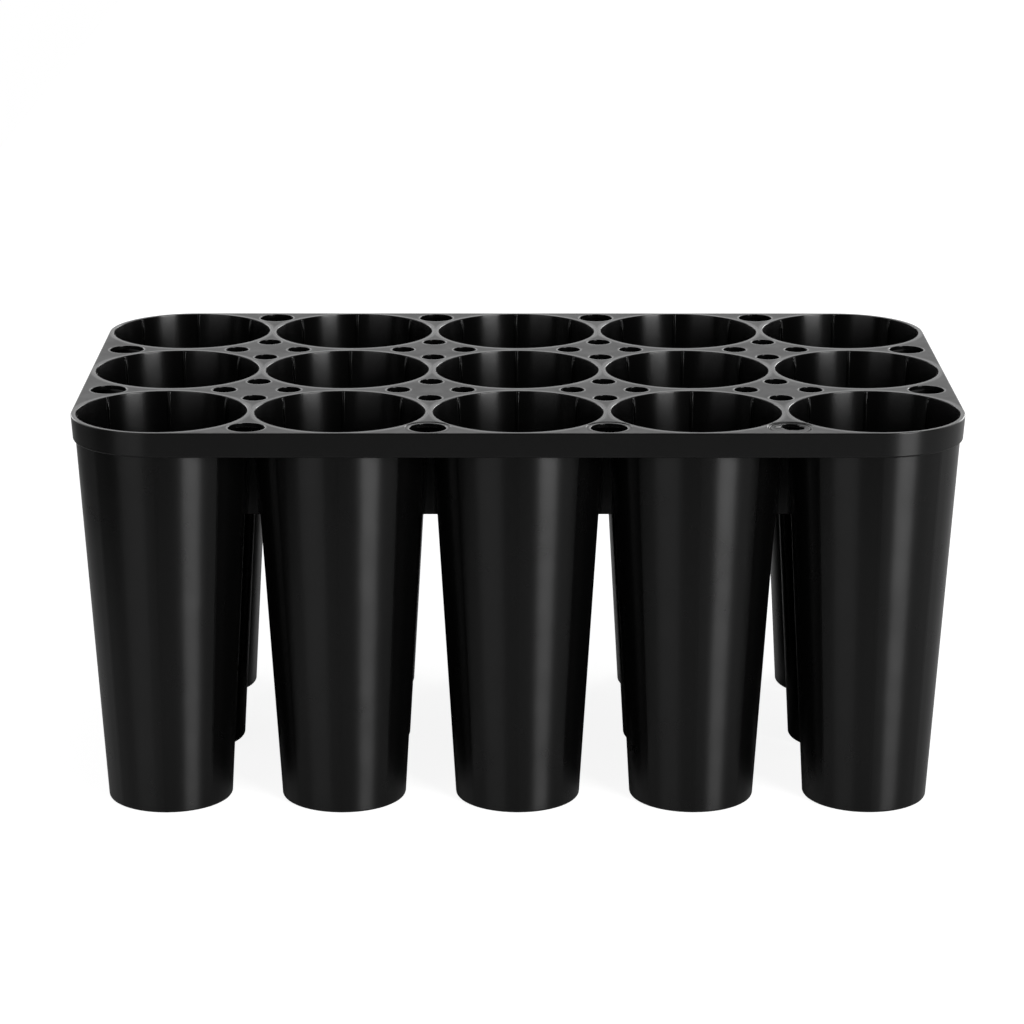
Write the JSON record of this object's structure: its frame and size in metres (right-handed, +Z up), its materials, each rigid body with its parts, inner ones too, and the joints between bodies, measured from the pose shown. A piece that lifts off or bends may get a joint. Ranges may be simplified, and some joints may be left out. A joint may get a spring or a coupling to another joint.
{
  "type": "seed starting tray",
  "caption": "Rigid black tray of deep tapered cells for raising tree seedlings, hung from a perforated deck with a rounded skirt.",
  "frame": {"origin": "centre of the tray's footprint, on the plane of the cells' feet", "axes": "+X along the long side, +Y from the pictured front to the back, +Z up out of the cells"},
  "size_m": [0.352, 0.216, 0.159],
  "materials": {
    "black_polypropylene": "semi-gloss injection-moulded polypropylene, satin on the deck"
  },
  "bodies": {
    "root": {"tray": "black_polypropylene"}
  },
  "joints": []
}
